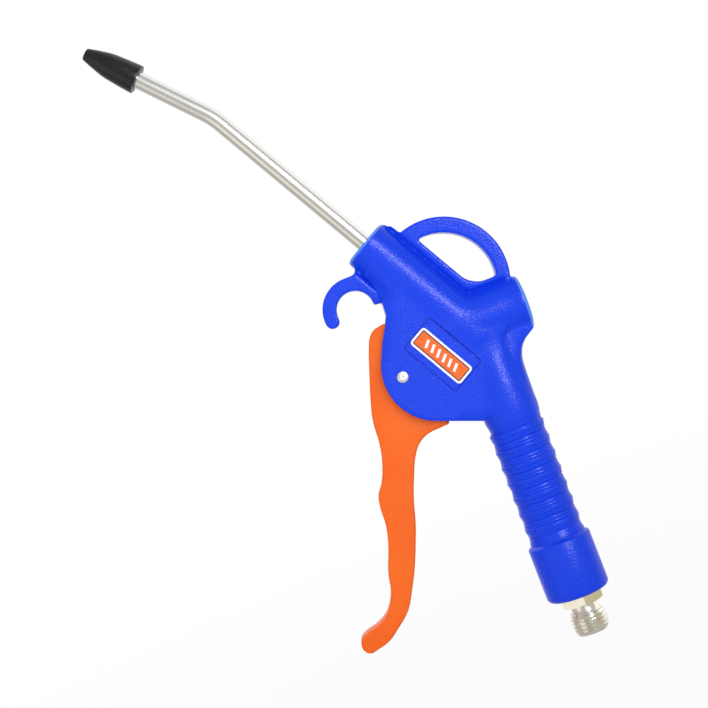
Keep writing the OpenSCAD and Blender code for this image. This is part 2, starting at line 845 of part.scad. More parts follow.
module rubber_tip() {
    taper = (tip_d - tip_front_d) / 2;
    color("#2b2c30")
        past_bend(tube_end_l)
            difference() {
                rotate_extrude()
                    polygon(concat(
                        [[0, 0]],
                        [for (s = tip_shares) [tip_front_d / 2 + taper * s[1], tip_l * s[0]]],
                        [[0, tip_l]]
                    ));
                translate([0, 0, -overrun])
                    cylinder(d = tube_d + 2 * seat_clearance, h = tip_grip_l + overrun);
                cylinder(d = outlet_d, h = tip_l + overrun);
            }
}

module lever_pin() {
    pin_l = cheek_t - 2 * seat_clearance;
    color("silver")
        translate([pivot_x, 0, pivot_z])
            rotate([90, 0, 0])
                difference() {
                    cylinder(d = pin_d, h = pin_l, center = true);
                    for (side = [-1, 1])
                        translate([0, 0, side * pin_l / 2])
                            rotate([side > 0 ? 180 : 0, 0, 0])
                                cylinder(d1 = pin_d / 2, d2 = 0, h = pin_dimple);
                }
}

module lever() {
    outline = closed_curve([for (s = lever_shares) lever_reach * s], 3);
    pocket_x = lever_front_wall - face_share * lever_reach;
    pocket_foot = pin_d / 2 + lever_front_wall;
    pocket_h = pocket_share * lever_reach;
    color("#ff6f24")
        translate([pivot_x, 0, pivot_z])
            difference() {
                union() {
                    difference() {
                        upright(lever_w)
                            polygon(outline);
                        translate([pocket_x, -pocket_w / 2, pocket_foot])
                            cube([lever_reach / 4, pocket_w, pocket_h]);
                    }
                    translate([0, 0, pivot_drop])
                        rotate([90, 0, 0])
                            cylinder(r = claw_r, h = pocket_w + lever_side_wall, center = true);
                }
                rotate([90, 0, 0])
                    cylinder(d = pin_d + 2 * run_clearance, h = lever_w + 2 * overrun, center = true);
                translate([-2 * claw_r, -claw_gap / 2, pocket_foot])
                    cube([lever_reach / 4, claw_gap, pocket_h]);
            }
}

body();
label_left();
label_right();
grip_insert();
inlet_connector();
inlet_washer();
valve_sleeve();
sleeve_front_seal();
sleeve_rear_seal();
gland_bush();
gland_seal();
valve_stem();
piston_seal();
valve_washer();
spring_plate();
return_spring();
stem_nut();
end_plug();
plug_seal();
nozzle_insert();
nozzle_seal();
nozzle_tube();
rubber_tip();
lever_pin();
lever();
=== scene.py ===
import math

import bmesh
import bpy
from mathutils import Matrix, Vector


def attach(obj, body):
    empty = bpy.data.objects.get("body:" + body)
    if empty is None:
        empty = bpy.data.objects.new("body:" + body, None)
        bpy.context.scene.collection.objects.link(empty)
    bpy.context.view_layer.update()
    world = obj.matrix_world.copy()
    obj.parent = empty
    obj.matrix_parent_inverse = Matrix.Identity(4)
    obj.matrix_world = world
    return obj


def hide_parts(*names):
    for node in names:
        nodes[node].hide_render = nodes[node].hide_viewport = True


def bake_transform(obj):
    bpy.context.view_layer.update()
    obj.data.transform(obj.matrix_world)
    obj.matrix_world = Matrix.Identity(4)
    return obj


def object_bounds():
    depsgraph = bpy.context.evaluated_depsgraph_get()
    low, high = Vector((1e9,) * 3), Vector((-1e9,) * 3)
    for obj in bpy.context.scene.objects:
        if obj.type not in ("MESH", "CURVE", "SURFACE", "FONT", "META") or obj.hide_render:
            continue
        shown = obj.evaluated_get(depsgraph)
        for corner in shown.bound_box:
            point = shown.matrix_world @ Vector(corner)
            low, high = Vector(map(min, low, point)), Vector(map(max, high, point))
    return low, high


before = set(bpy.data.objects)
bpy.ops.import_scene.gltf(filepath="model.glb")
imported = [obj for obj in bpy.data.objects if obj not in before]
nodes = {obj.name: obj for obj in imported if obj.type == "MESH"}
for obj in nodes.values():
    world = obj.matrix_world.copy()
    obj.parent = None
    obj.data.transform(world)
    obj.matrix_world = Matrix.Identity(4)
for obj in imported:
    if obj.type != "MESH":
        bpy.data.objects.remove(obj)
cadLow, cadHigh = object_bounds()
scene = bpy.context.scene
mm = 0.001  # pieces are drawn in millimetres and scaled to metres when they are done
print("frame loaded:", len(nodes), "nodes")

# where things are on the gun, in millimetres and degrees
gun = {
    "elbow": (-4.6, 0, 115),  # where the nose's axis meets the valve's
    "noseLean": 29.2,
    "tubeBend": 13.5,
    "pivot": (-30.3, 0, 105.5),
    "cheek": (-18, 105.1),  # X and Z of the round cheeks' centre
    "label": (-14.9, 0, 107.89),
}


# small tools
def colour(code):
    # a screen colour in hex, as the linear values a shader takes
    steps = [int(code[i:i + 2], 16) / 255 for i in (1, 3, 5)]
    return (*[s / 12.92 if s <= 0.04045 else ((s + 0.055) / 1.055) ** 2.4 for s in steps], 1)


def addNode(tree, kind, settings=None, links=None):
    # one node with its settings, its own or its sockets', and what feeds it
    node = tree.nodes.new(kind)
    for key, value in (settings or {}).items():
        if isinstance(key, str) and hasattr(node, key):
            setattr(node, key, value)
        else:
            node.inputs[key].default_value = value
    for key, source in (links or {}).items():
        tree.links.new(source, node.inputs[key])
    return node


def place(*steps):
    made = Matrix.Identity(4)
    for step in steps:
        made = made @ step
    return made


def along(u):  # the nose's frame, u millimetres up its axis
    return place(Matrix.Translation(gun["elbow"]),
                 Matrix.Rotation(math.radians(-gun["noseLean"]), 4, "Y"),
                 Matrix.Translation((0, 0, u)))


def across(x):  # the valve's frame, its Z along the gun's X
    return place(Matrix.Translation((x, 0, gun["elbow"][2])), Matrix.Rotation(math.pi / 2, 4, "Y"))


def sideways(x, z, long):  # the frame of a bar that lies across the gun, centred on Y = 0
    return place(Matrix.Translation((x, 0, z)), Matrix.Rotation(math.pi / 2, 4, "X"),
                 Matrix.Translation((0, 0, -long / 2)))


def labelFrame():
    return place(Matrix.Translation(gun["label"]),
                 Matrix.Rotation(math.radians(-gun["noseLean"]), 4, "Y"))


def rod(bm, radius, length, matrix, segments=96):
    # a round bar that starts at the matrix's origin and runs up its Z
    bmesh.ops.create_cone(bm, cap_ends=True, segments=segments, radius1=radius, radius2=radius,
                          depth=length, matrix=matrix @ Matrix.Translation((0, 0, length / 2)))


def spin(bm, profile, steps=96, matrix=None, closed=False):
    # turns (radius, height) points once round Z, then puts the shape in the matrix's frame
    before = set(bm.verts)
    verts = [bm.verts.new((r, 0, z)) for r, z in profile]
    edges = [bm.edges.new(pair) for pair in zip(verts, verts[1:])]
    if closed:
        edges.append(bm.edges.new((verts[-1], verts[0])))
    bmesh.ops.spin(bm, geom=verts + edges, axis=(0, 0, 1), cent=(0, 0, 0),
                   angle=2 * math.pi, steps=steps, use_merge=True)
    turned = [v for v in bm.verts if v not in before]
    if matrix is not None:
        bmesh.ops.transform(bm, matrix=matrix, verts=turned)
    bmesh.ops.remove_doubles(bm, verts=turned, dist=1e-4)


def plate(bm, outline, thickness):
    # an outline of (x, z) points, extruded evenly to both sides of Y = 0
    verts = [bm.verts.new((x, -thickness / 2, z)) for x, z in outline]
    moved = onlyVerts(bmesh.ops.extrude_face_region(bm, geom=[bm.faces.new(verts)])["geom"])
    bmesh.ops.translate(bm, vec=(0, thickness, 0), verts=moved)
    return verts + moved


def onlyVerts(geom):
    return [part for part in geom if isinstance(part, bmesh.types.BMVert)]


def temporary(bm, name="tool"):
    # a closed shape in millimetres, with its faces turned outwards
    bmesh.ops.recalc_face_normals(bm, faces=bm.faces)
    mesh = bpy.data.meshes.new(name)
    bm.to_mesh(mesh)
    bm.free()
    made = bpy.data.objects.new(name, mesh)
    scene.collection.objects.link(made)
    return made


def barTool(radius, length, matrix, segments=80):
    bm = bmesh.new()
    rod(bm, radius, length, matrix, segments)
    return temporary(bm)


def turnedTool(profile, steps=96):
    bm = bmesh.new()
    spin(bm, profile, steps)
    return temporary(bm)


def blockTool(low, high, origin):
    # a box between two corners, which are counted from the origin
    bm = bmesh.new()
    bmesh.ops.create_cube(bm, size=1, matrix=place(
        Matrix.Translation(origin), Matrix.Translation((Vector(low) + Vector(high)) / 2),
        Matrix.Diagonal((*(Vector(high) - Vector(low)), 1))))
    return temporary(bm)


def settle(piece):
    # the modifiers become the mesh
    bpy.context.view_layer.update()
    done = bpy.data.meshes.new_from_object(
        piece.evaluated_get(bpy.context.evaluated_depsgraph_get()))
    piece.modifiers.clear()
    piece.data = done
    return piece


def combine(piece, tools, operation="DIFFERENCE"):
    # works the tools into the piece, one after another, and uses them up
    for tool in tools:
        step = piece.modifiers.new("step", "BOOLEAN")
        step.operation = operation
        step.solver = "MANIFOLD"
        step.object = tool
    settle(piece)
    for tool in tools:
        bpy.data.objects.remove(tool)
    return piece


def arc(centre, radius, start, end, steps):
    # points on an arc between two angles in degrees
    turns = [math.radians(start + (end - start) * i / steps) for i in range(steps + 1)]
    return [(centre[0] + radius * math.cos(a), centre[1] + radius * math.sin(a)) for a in turns]


def complete(piece, name, material, body, replaced, sharpAngle=35):
    # millimetres to metres, shading, finish, and what it stands for
    piece.name = name
    piece.data.name = name
    bm = bmesh.new()
    bm.from_mesh(piece.data)
    bmesh.ops.scale(bm, vec=(mm, mm, mm), verts=bm.verts)
    bm.to_mesh(piece.data)
    bm.free()
    piece.data.shade_smooth()
    piece.data.set_sharp_from_angle(angle=math.radians(sharpAngle))
    if material is not None:
        piece.data.materials.clear()
        piece.data.materials.append(material)
    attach(piece, body)
    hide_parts(*replaced)
    print("made", name, len(piece.data.polygons), "faces")
    return piece


# finishes
def finish(name, settings):
    # a material's start: its shader, wired to the output, and Object coordinates
    material = bpy.data.materials.new(name)
    material.use_nodes = True
    tree = material.node_tree
    tree.nodes.clear()
    shader = addNode(tree, "ShaderNodeBsdfPrincipled", settings)
    addNode(tree, "ShaderNodeOutputMaterial", links={"Surface": shader.outputs[0]})
    spot = addNode(tree, "ShaderNodeTexCoord").outputs["Object"]
    return material, tree, shader, spot


def mottle(tree, shader, spot, hues, sizeMm, contrast=(0.35, 0.65)):
    # two close colours, mixed in soft patches
    patches = addNode(tree, "ShaderNodeTexNoise", {"Scale": 1 / (sizeMm * mm), "Detail": 3},
                      {"Vector": spot})
    share = addNode(tree, "ShaderNodeMapRange",
                    {"From Min": contrast[0], "From Max": contrast[1]},
                    {"Value": patches.outputs[0]})
    mixed = addNode(tree, "ShaderNodeMix",
                    {"data_type": "RGBA", 6: colour(hues[0]), 7: colour(hues[1])},
                    {0: share.outputs[0]})
    tree.links.new(mixed.outputs[2], shader.inputs["Base Color"])
    return share.outputs[0]


def gloss(tree, shader, pattern, roughness, contrast=(0.3, 0.7)):
    # the roughness drifts between two values with a pattern
    spread = addNode(tree, "ShaderNodeMapRange",
                     {"From Min": contrast[0], "From Max": contrast[1],
                      "To Min": roughness[0], "To Max": roughness[1]}, {"Value": pattern})
    tree.links.new(spread.outputs[0], shader.inputs["Roughness"])


def relief(tree, shader, height, depthMm):
    bump = addNode(tree, "ShaderNodeBump", {"Strength": 1.0, "Distance": depthMm * mm},
                   {"Height": height})
    tree.links.new(bump.outputs[0], shader.inputs["Normal"])


nylonLook = {
    "hues": ("#1140e5", "#1545ef"),
    # a painted highlight: the ends of both barrels are painted a paler blue, where their rounded
    # rims catch the light
    "rimHighlight": "#5a8ef4", "rimHighlightUp": (42.5, 43.0), "rimHighlightX": (17.3, 17.7),
    # the real pits are about 0.3 mm wide: drawn nearly twice as coarse, so that they show
    "grainMm": 0.56,
    "depthMm": 0.068,
    "roughness": (0.19, 0.28),
}


def sparkErodedNylon():
    # glass-filled nylon off a spark-eroded mould: even, satin, with a fine sparkle; the
    # pits swallow part of what a smooth face would mirror
    material, tree, shader, spot = finish(
        "nylon, spark-eroded mould", {"IOR": 1.5, "Specular IOR Level": 0.2})
    mottle(tree, shader, spot, nylonLook["hues"], nylonLook["grainMm"])
    skin = shader.inputs["Base Color"].links[0].from_socket
    # painted highlight: a paler band at the barrels' rims, from how far a point lies up the nose
    # and along X
    rimHighlight = None
    lean = math.radians(gun["noseLean"])
    for axis, (start, end) in (((-math.sin(lean), 0, math.cos(lean)), nylonLook["rimHighlightUp"]),
                               ((1, 0, 0), nylonLook["rimHighlightX"])):
        foot = Vector(gun["elbow"]).dot(axis) if axis[2] else 0
        reach = addNode(tree, "ShaderNodeVectorMath", {"operation": "DOT_PRODUCT", 1: axis},
                        {0: spot})
        share = addNode(tree, "ShaderNodeMapRange",
                        {"From Min": (foot + start) * mm, "From Max": (foot + end) * mm},
                        {"Value": reach.outputs["Value"]})
        if rimHighlight is not None:
            share = addNode(tree, "ShaderNodeMath", {"operation": "MAXIMUM"},
                            {0: rimHighlight, 1: share.outputs[0]})
        rimHighlight = share.outputs[0]
    ends = addNode(tree, "ShaderNodeMix", {"data_type": "RGBA", 7: colour(nylonLook["rimHighlight"])},
                   {0: rimHighlight, 6: skin})
    tree.links.new(ends.outputs[2], shader.inputs["Base Color"])
    pits = addNode(tree, "ShaderNodeTexVoronoi",
                   {"feature": "SMOOTH_F1", "Scale": 1 / (nylonLook["grainMm"] * mm)},
                   {"Vector": spot})
    fine = addNode(tree, "ShaderNodeTexNoise",
                   {"Scale": 0.8 / (nylonLook["grainMm"] * mm), "Detail": 3}, {"Vector": spot})
    height = addNode(tree, "ShaderNodeMath", {"operation": "ADD"},
                     {0: pits.outputs[0], 1: fine.outputs[0]})
    relief(tree, shader, height.outputs[0], nylonLook["depthMm"])
    gloss(tree, shader, fine.outputs[0], nylonLook["roughness"])
    return material


leverLook = {"hues": ("#fa660c", "#fe6e14"), "patchMm": 18, "roughness": 0.36,
             "waveMm": 6, "depthMm": 0.02}


def polishedAcetal():
    # acetal off a polished mould: smooth, with a faint orange-peel swell
    material, tree, shader, spot = finish(
        "acetal, polished mould",
        {"IOR": 1.48, "Specular IOR Level": 0.25, "Roughness": leverLook["roughness"]})
    mottle(tree, shader, spot, leverLook["hues"], leverLook["patchMm"])
    swell = addNode(tree, "ShaderNodeTexNoise",
                    {"Scale": 1 / (leverLook["waveMm"] * mm), "Detail": 4}, {"Vector": spot})
    relief(tree, shader, swell.outputs[0], leverLook["depthMm"])
    return material


def drawnSteel(name, hues, roughness, lineMm, turn, depthMm):
    # bright drawn stainless steel: fine lines along the bar, squeezed out of a noise
    material, tree, shader, spot = finish(name, {"Metallic": 1})
    mapped = addNode(tree, "ShaderNodeMapping",
                     {"Rotation": (0, turn, 0), "Scale": (1, 1, 0.02)}, {"Vector": spot})
    lines = addNode(tree, "ShaderNodeTexNoise", {"Scale": 1 / (lineMm * mm), "Detail": 2},
                    {"Vector": mapped.outputs[0]})
    mixed = addNode(tree, "ShaderNodeMix",
                    {"data_type": "RGBA", 6: colour(hues[0]), 7: colour(hues[1])},
                    {0: lines.outputs[0]})
    tree.links.new(mixed.outputs[2], shader.inputs["Base Color"])
    gloss(tree, shader, lines.outputs[0], roughness)
    relief(tree, shader, lines.outputs[0], depthMm)
    return material


def turnedMetal(name, hues, roughness, lineMm=0.12, depthMm=0.004, cloudMm=3):
    # plated or bare turned metal: a soft haze of cut marks over a bright ground
    material, tree, shader, spot = finish(name, {"Metallic": 1})
    mottle(tree, shader, spot, hues, cloudMm)
    marks = addNode(tree, "ShaderNodeTexNoise", {"Scale": 1 / (lineMm * mm), "Detail": 1},
                    {"Vector": spot})
    gloss(tree, shader, marks.outputs[0], roughness)
    relief(tree, shader, marks.outputs[0], depthMm)
    return material


def mouldedRubber(name, hues, roughness, grainMm, depthMm, bloomMm=2.5):
    # moulded nitrile rubber: near black, a soft streak of gloss and a faint bloom
    material, tree, shader, spot = finish(name, {"IOR": 1.47})
    share = mottle(tree, shader, spot, hues, bloomMm)
    grain = addNode(tree, "ShaderNodeTexNoise", {"Scale": 1 / (grainMm * mm), "Detail": 3},
                    {"Vector": spot})
    gloss(tree, shader, share, roughness, (0, 1))
    relief(tree, shader, grain.outputs[0], depthMm)
    return material


vinylLook = {"patchMm": 0.8, "grainMm": 0.3, "depthMm": 0.004, "roughness": 0.3}


def printedVinyl(name, hues):
    # screen-printed vinyl film: flat ink with a thin gloss
    material, tree, shader, spot = finish(
        name, {"IOR": 1.5, "Specular IOR Level": 0.25, "Roughness": vinylLook["roughness"]})
    mottle(tree, shader, spot, hues, vinylLook["patchMm"])
    ink = addNode(tree, "ShaderNodeTexNoise",
                  {"Scale": 1 / (vinylLook["grainMm"] * mm), "Detail": 1}, {"Vector": spot})
    relief(tree, shader, ink.outputs[0], vinylLook["depthMm"])
    return material


finishes = {
    "body": sparkErodedNylon(),
    "lever": polishedAcetal(),
    "nickel": turnedMetal("nickel plate on turned brass", ("#eee9dc", "#f5f2ea"), (0.1, 0.2)),
    "steel_tube": drawnSteel("stainless steel, drawn", ("#e8e6e0", "#f4f2ee"), (0.19, 0.225), 0.25,
                             math.radians(gun["noseLean"]), 0.0015),
    "steel_pin": turnedMetal("steel, ground and zinc plated", ("#f2f3f6", "#ffffff"), (0.3, 0.4)),
    "steel_stem": turnedMetal("stainless steel, turned", ("#c9c7c2", "#d8d6d2"), (0.2, 0.32)),
    "steel_spring": turnedMetal("spring steel, drawn and oiled", ("#8d8b88", "#a5a29e"),
                                (0.25, 0.4)),
    "brass": turnedMetal("brass, turned", ("#c79a4b", "#d8b061"), (0.2, 0.34)),
    "seal_rubber": mouldedRubber("nitrile rubber, moulded", ("#101012", "#18181b"),
                                 (0.4, 0.55), 0.2, 0.01),
    "tip_rubber": mouldedRubber("nitrile rubber, matt mould", ("#0b0c0e", "#141517"),
                                (0.26, 0.36), 0.25, 0.012),
}
inks = {
    "white": printedVinyl("vinyl film, white", ("#f6f6f8", "#fdfdfd")),
    "line": printedVinyl("screen ink, dark blue", ("#1d1650", "#2b2160")),
    "orange": printedVinyl("screen ink, orange", ("#f96a1c", "#ff7427")),
}
print("finishes mixed:", len(finishes) + len(inks))

# the moulded body
bodySizes = {
    # radius and end of the two barrels, with the rounding of their rims
    "boss": (8.85, 18.75, 1.2), "nose": (8.95, 43.75, 1.2), "barrelStart": -8, "rimStep": 0.6,
    # the bend between them: its own radius and that of its path
    "bend": (8.75, 12.5),
    # the boss ends in a slightly wider ring
    "ring": [(0, 14.5), (8.6, 14.5), (9.15, 15.6), (9.3, 16.4), (9.3, 17.4), (9.1, 18.2),
             (8.6, 18.7), (0, 18.7)],
    "cheekR": 19, "cheekThick": 16,
    # brow over the lever's head, then the front of the round cheek, then the heel
    "brow": [(-20, 146), (-30.6, 143.2), (-29.0, 139.6), (-28.1, 136.4), (-27.7, 132.5),
             (-28.0, 127.1), (-29.4, 124.2), (-32.5, 119.1), (-34.8, 114.0)],
    "heel": [(-23.9, 87.0), (-9.55, 81.5), (3.0, 87.5), (6.0, 106.2)],
    "behind": [(9.5, 109.1), (9.5, 115), (-4.6, 115), (-15.2, 133.9)],
    "loopC": (-5.5, 130.4), "loopR": 22.95, "loopThick": 8, "loopRound": 1.7,
    # its opening: the corner over the boss, found by its place, is rounder than the others
    "holeC": (-5.9, 129.5), "holeR": 18.45, "loopSide": 12.45, "loopFloor": 11.45,
    "cornerR": 8, "cornerX": (0, 6), "cornerTop": 128, "edgeR": 2.6,
    # the loop's root runs on along the nose as a low ridge: distance from the axis, and up it
    "ridge": [(5, 34), (5, 42.9), (8.9, 42.9), (9.25, 42.3), (9.35, 41.2), (10.2, 40.5),
              (10.35, 38.4), (10.4, 34)], "ridgeThick": 7,
    "hookC": (-37, 132.8), "hookR": 6.5, "hookBand": 4.9, "hookThick": 7.5, "hookEnd": 187,
    "hookStart": -7, "hookRound": 1.9,
    # the hook's root, with its heights counted from the hook's centre
    "hookRoot": [(-18.5, -1.6), (-18.5, 9.8), (-31.0, 14.2), (-32.1, 13.4), (-32.6, 12.2),
                 (-33.4, 11.5), (-34.6, 11.4)],
    # the grip's round top fades into the flat cheeks
    "gripShift": 0.4,
    "gripTop": [(0, 75), (9.0, 75), (9.25, 76.5), (9.4, 77.6), (9.65, 78.6), (9.85, 80), (9.9, 82),
                (9.86, 84), (9.75, 88), (9.5, 92), (9.1, 96), (8.6, 100), (8.15, 104), (7.8, 108),
                (0, 108)],
    # the web under the boss, a turned hollow cut down to its own width
    "web": [(0, 82), (10.1, 82), (10.3, 85), (10.4, 90), (10.55, 94), (10.7, 96), (11.15, 98),
            (12.0, 100), (12.7, 101.1), (13.5, 102), (14.4, 102.8), (15.6, 103.6), (16.6, 104.2),
            (17.8, 104.9), (18.6, 105.8), (18.6, 107), (18.2, 109.1), (0, 109.1)], "webThick": 11,
    "voxel": 0.45,
}


def halfSpaces(bm, cuts):
    # keeps what lies in front of each (point, normal) plane and caps the cut
    for point, normal in cuts:
        made = bmesh.ops.bisect_plane(
            bm, geom=bm.verts[:] + bm.edges[:] + bm.faces[:], plane_co=point, plane_no=normal,
            clear_inner=True)
        rim = [e for e in made["geom_cut"] if isinstance(e, bmesh.types.BMEdge)]
        bmesh.ops.edgeloop_fill(bm, edges=rim)


def roundRims(bm, size):
    # rounds every edge between a plate's faces and its rim
    rims = [e for e in bm.edges
            if len(e.link_faces) == 2 and e.calc_face_angle() > math.radians(70)
            and abs(e.verts[0].co.y - e.verts[1].co.y) < 1e-4]
    bmesh.ops.bevel(bm, geom=rims, offset=size, segments=6, profile=0.5, affect="EDGES",
                    material=-1, clamp_overlap=True)


def loopPlate():
    s = bodySizes
    lean = math.radians(gun["noseLean"])
    aside = Vector((math.cos(lean), 0, math.sin(lean)))  # from the nose's axis towards the loop
    elbow = Vector(gun["elbow"])
    outer = bmesh.new()
    rod(outer, s["loopR"], s["loopThick"], sideways(*s["loopC"], s["loopThick"]), 160)
    halfSpaces(outer, [(elbow, aside), (elbow, (0, 0, 1))])
    inner = bmesh.new()
    thick = 2 * s["loopThick"]
    rod(inner, s["holeR"], thick, sideways(*s["holeC"], thick), 160)
    halfSpaces(inner, [(elbow + s["loopSide"] * aside, aside),
                       (elbow + Vector((0, 0, s["loopFloor"])), (0, 0, 1))])
    corners = {}
    for e in inner.edges:
        a, b = e.verts
        if abs(a.co.y - b.co.y) > thick * 0.9 and e.calc_face_angle() > math.radians(20):
            overBoss = s["cornerX"][0] < a.co.x < s["cornerX"][1] and a.co.z < s["cornerTop"]
            corners[e] = s["cornerR"] if overBoss else s["edgeR"]
    for size in (s["cornerR"], s["edgeR"]):
        chosen = [e for e in corners if e.is_valid and corners[e] == size]
        angle = chosen[0].calc_face_angle()
        bmesh.ops.bevel(inner, geom=chosen, offset=size * math.tan(angle / 2), segments=8,
                        profile=0.5, affect="EDGES", material=-1)
    loop = combine(temporary(outer), [temporary(inner)])
    bm = bmesh.new()
    bm.from_mesh(loop.data)
    bmesh.ops.dissolve_limit(bm, angle_limit=math.radians(1), verts=bm.verts, edges=bm.edges)
    roundRims(bm, s["loopRound"])
    bmesh.ops.recalc_face_normals(bm, faces=bm.faces)
    bm.to_mesh(loop.data)
    bm.free()
    return loop


def hookShape():
    s = bodySizes
    x, z = s["hookC"]
    band = s["hookBand"]
    end = math.radians(s["hookEnd"])
    middle = s["hookR"] + band / 2
    tip = (x + middle * math.cos(end), z + middle * math.sin(end))
    outline = arc(s["hookC"], s["hookR"] + band, 90, s["hookEnd"], 28)
    outline += arc(tip, band / 2, s["hookEnd"], s["hookEnd"] + 180, 12)[1:-1]
    outline += arc(s["hookC"], s["hookR"], s["hookEnd"], s["hookStart"], 44)
    outline += [(a, z + b) for a, b in s["hookRoot"]]
    bm = bmesh.new()
    plate(bm, outline, s["hookThick"])
    bmesh.ops.recalc_face_normals(bm, faces=bm.faces)
    roundRims(bm, s["hookRound"])
    return bm


def roundedBar(radius, end, rim):
    # a barrel's side and its rounded rim, for spin
    low = bodySizes["barrelStart"]
    return ([(0, low), (radius, low)] + arc((radius - rim, end - rim), rim, 0, 80, 6)
            + [(radius - rim - bodySizes["rimStep"], end), (0, end)])


def bendReach():
    # the bend's turn, and how far it starts from the elbow on either barrel
    turn = math.radians(90 - gun["noseLean"])
    return turn, bodySizes["bend"][1] * math.tan(turn / 2)


def bodyCore():
    # the barrels, cheeks, web, hook and loop, melted into one skin
    s = bodySizes
    bm = bmesh.new()
    spin(bm, roundedBar(*s["nose"]), 120, along(0))
    spin(bm, roundedBar(s["boss"][0], s["boss"][1] - gun["elbow"][0], s["boss"][2]), 120,
         across(gun["elbow"][0]))
    spin(bm, s["ring"], 120, across(0))
    # the barrels meet in a swept bend, which rounds the corner between them
    radius, bendR = s["bend"]
    turn, reach = bendReach()
    ring = bmesh.ops.create_circle(bm, cap_ends=True, segments=96, radius=radius,
                                   matrix=across(gun["elbow"][0] + reach))
    start = list({f for v in ring["verts"] for f in v.link_faces})
    bmesh.ops.spin(bm, geom=start, axis=(0, 1, 0), angle=turn, steps=20,
                   cent=(gun["elbow"][0] + reach, 0, gun["elbow"][2] + bendR))
    bmesh.ops.create_uvsphere(bm, u_segments=64, v_segments=40, radius=radius,
                              matrix=Matrix.Translation(gun["elbow"]))
    rod(bm, s["cheekR"], s["cheekThick"], sideways(*gun["cheek"], s["cheekThick"]), 160)
    plate(bm, s["brow"] + [gun["cheek"]] + s["heel"] + s["behind"], s["cheekThick"])
    bmesh.ops.transform(bm, matrix=along(0), verts=plate(bm, s["ridge"], s["ridgeThick"]))
    top = bmesh.new()
    spin(top, s["gripTop"], 96)
    bmesh.ops.translate(top, vec=(s["gripShift"], 0, 0), verts=top.verts)
    web = bmesh.new()
    spin(web, s["web"], 96)
    half = s["webThick"] / 2
    halfSpaces(web, [((0, -half, 0), (0, 1, 0)), ((0, half, 0), (0, -1, 0)),
                     ((0, 0, 0), (1, 0, 0))])
    for extra in (top, web, hookShape()):
        bmesh.ops.recalc_face_normals(extra, faces=extra.faces)
        held = bpy.data.meshes.new("held")
        extra.to_mesh(held)
        extra.free()
        bm.from_mesh(held)
        bpy.data.meshes.remove(held)
    core = temporary(bm, "core")
    loop = loopPlate()
    bm = bmesh.new()
    bm.from_mesh(core.data)
    bm.from_mesh(loop.data)
    bpy.data.objects.remove(loop)
    bm.to_mesh(core.data)
    bm.free()
    skin = core.modifiers.new("skin", "REMESH")
    skin.mode = "VOXEL"
    skin.voxel_size = s["voxel"]
    settle(core)
    return core


def noseFrame(x, z):
    # how far a point lies aside from the nose's axis, and how far up it
    lean = math.radians(gun["noseLean"])
    dx, dz = x - gun["elbow"][0], z - gun["elbow"][2]
    return (dx * math.cos(lean) + dz * math.sin(lean), -dx * math.sin(lean) + dz * math.cos(lean))


def barrelDistance(x, z):
    # how far a point above the barrels lies from their axes, round the swept bend
    bendR = bodySizes["bend"][1]
    reach = bendReach()[1]
    aside, up = noseFrame(x, z)
    dx, dz = x - gun["elbow"][0], z - gun["elbow"][2]
    if dx > reach:
        return dz
    if up > reach:
        return aside
    return bendR - math.hypot(dx - reach, dz - bendR)


def between(steps, value):
    # reads a list of (position, height) steps
    for (a, low), (b, high) in zip(steps, steps[1:]):
        if value <= b:
            share = max(0, (value - a) / (b - a))
            return low + (high - low) * share
    return steps[-1][1]


softSizes = {
    # next to the barrels the plates are thinner: half thickness by distance from the barrels' axes
    "loopDish": [(8.0, 0.9), (8.8, 1.1), (9.0, 1.5), (9.5, 2.7), (10.0, 3.5), (10.5, 3.9),
                 (11.2, 4.0)],
    "hookDish": [(8.0, 1.9), (9.0, 2.1), (9.7, 3.1), (10.4, 3.75)],
    "loopBand": (8.0, 11.4), "loopEndX": 14.4,
    "hookAside": 8.0, "hookUp": (27, 43),
    "creaseDepth": 1.6, "creaseReach": 9.4,
    # the flat sides that run into the round parts: over the grip, short of the barrels' ends
    "sideFloor": 78.5, "sideEndX": 15, "sideEndUp": 39, "cheekFlatR": 17.4, "overCheek": 112,
    "sideDepth": 5.5, "webDepth": 3.5, "webX": 2, "webTop": 106,
    "creasePasses": 2, "allPasses": 2, "sidePasses": 60,
}


def onSide(x, y, z, up):
    s = softSizes
    cx, cz = gun["cheek"]
    onWeb = x > s["webX"] and z < s["webTop"]
    beside = x > cx or math.hypot(x - cx, z - cz) < s["cheekFlatR"] or z > s["overCheek"]
    return (abs(y) > (s["webDepth"] if onWeb else s["sideDepth"]) and z > s["sideFloor"]
            and x < s["sideEndX"] and up < s["sideEndUp"] and beside)


def soften(core):
    # the plates are dished next to the barrels, edges are broken a little, and the flat sides
    # run into the round parts
    s = softSizes
    bm = bmesh.new()
    bm.from_mesh(core.data)
    sides, creases = [], []
    for v in bm.verts:
        x, y, z = v.co
        aside, up = noseFrame(x, z)
        if onSide(x, y, z, up):
            sides.append(v)
        limit = None
        if aside > 0 and z > gun["elbow"][2]:
            away = barrelDistance(x, z)
            if s["loopBand"][0] < away < s["loopBand"][1] and x < s["loopEndX"]:
                limit = between(s["loopDish"], away)
        elif aside < -s["hookAside"] and s["hookUp"][0] < up < s["hookUp"][1]:
            away = -aside
            limit = between(s["hookDish"], away)
        if limit is None:
            continue
        # the barrel itself stays round
        limit = max(limit, math.sqrt(max(0, bodySizes["nose"][0] ** 2 - away ** 2)))
        if abs(y) > limit:
            v.co.y = math.copysign(limit, y)
        if abs(y) > limit - s["creaseDepth"] and away < s["creaseReach"]:
            creases.append(v)
    for group, passes in ((creases, s["creasePasses"]), (bm.verts, s["allPasses"])):
        for _ in range(passes):
            bmesh.ops.smooth_vert(bm, verts=group, factor=0.5, use_axis_x=True, use_axis_y=True,
                                  use_axis_z=True)
    for _ in range(s["sidePasses"]):
        bmesh.ops.smooth_vert(bm, verts=sides, factor=0.5, use_axis_y=True)
    bm.to_mesh(core.data)
    bm.free()
    return core


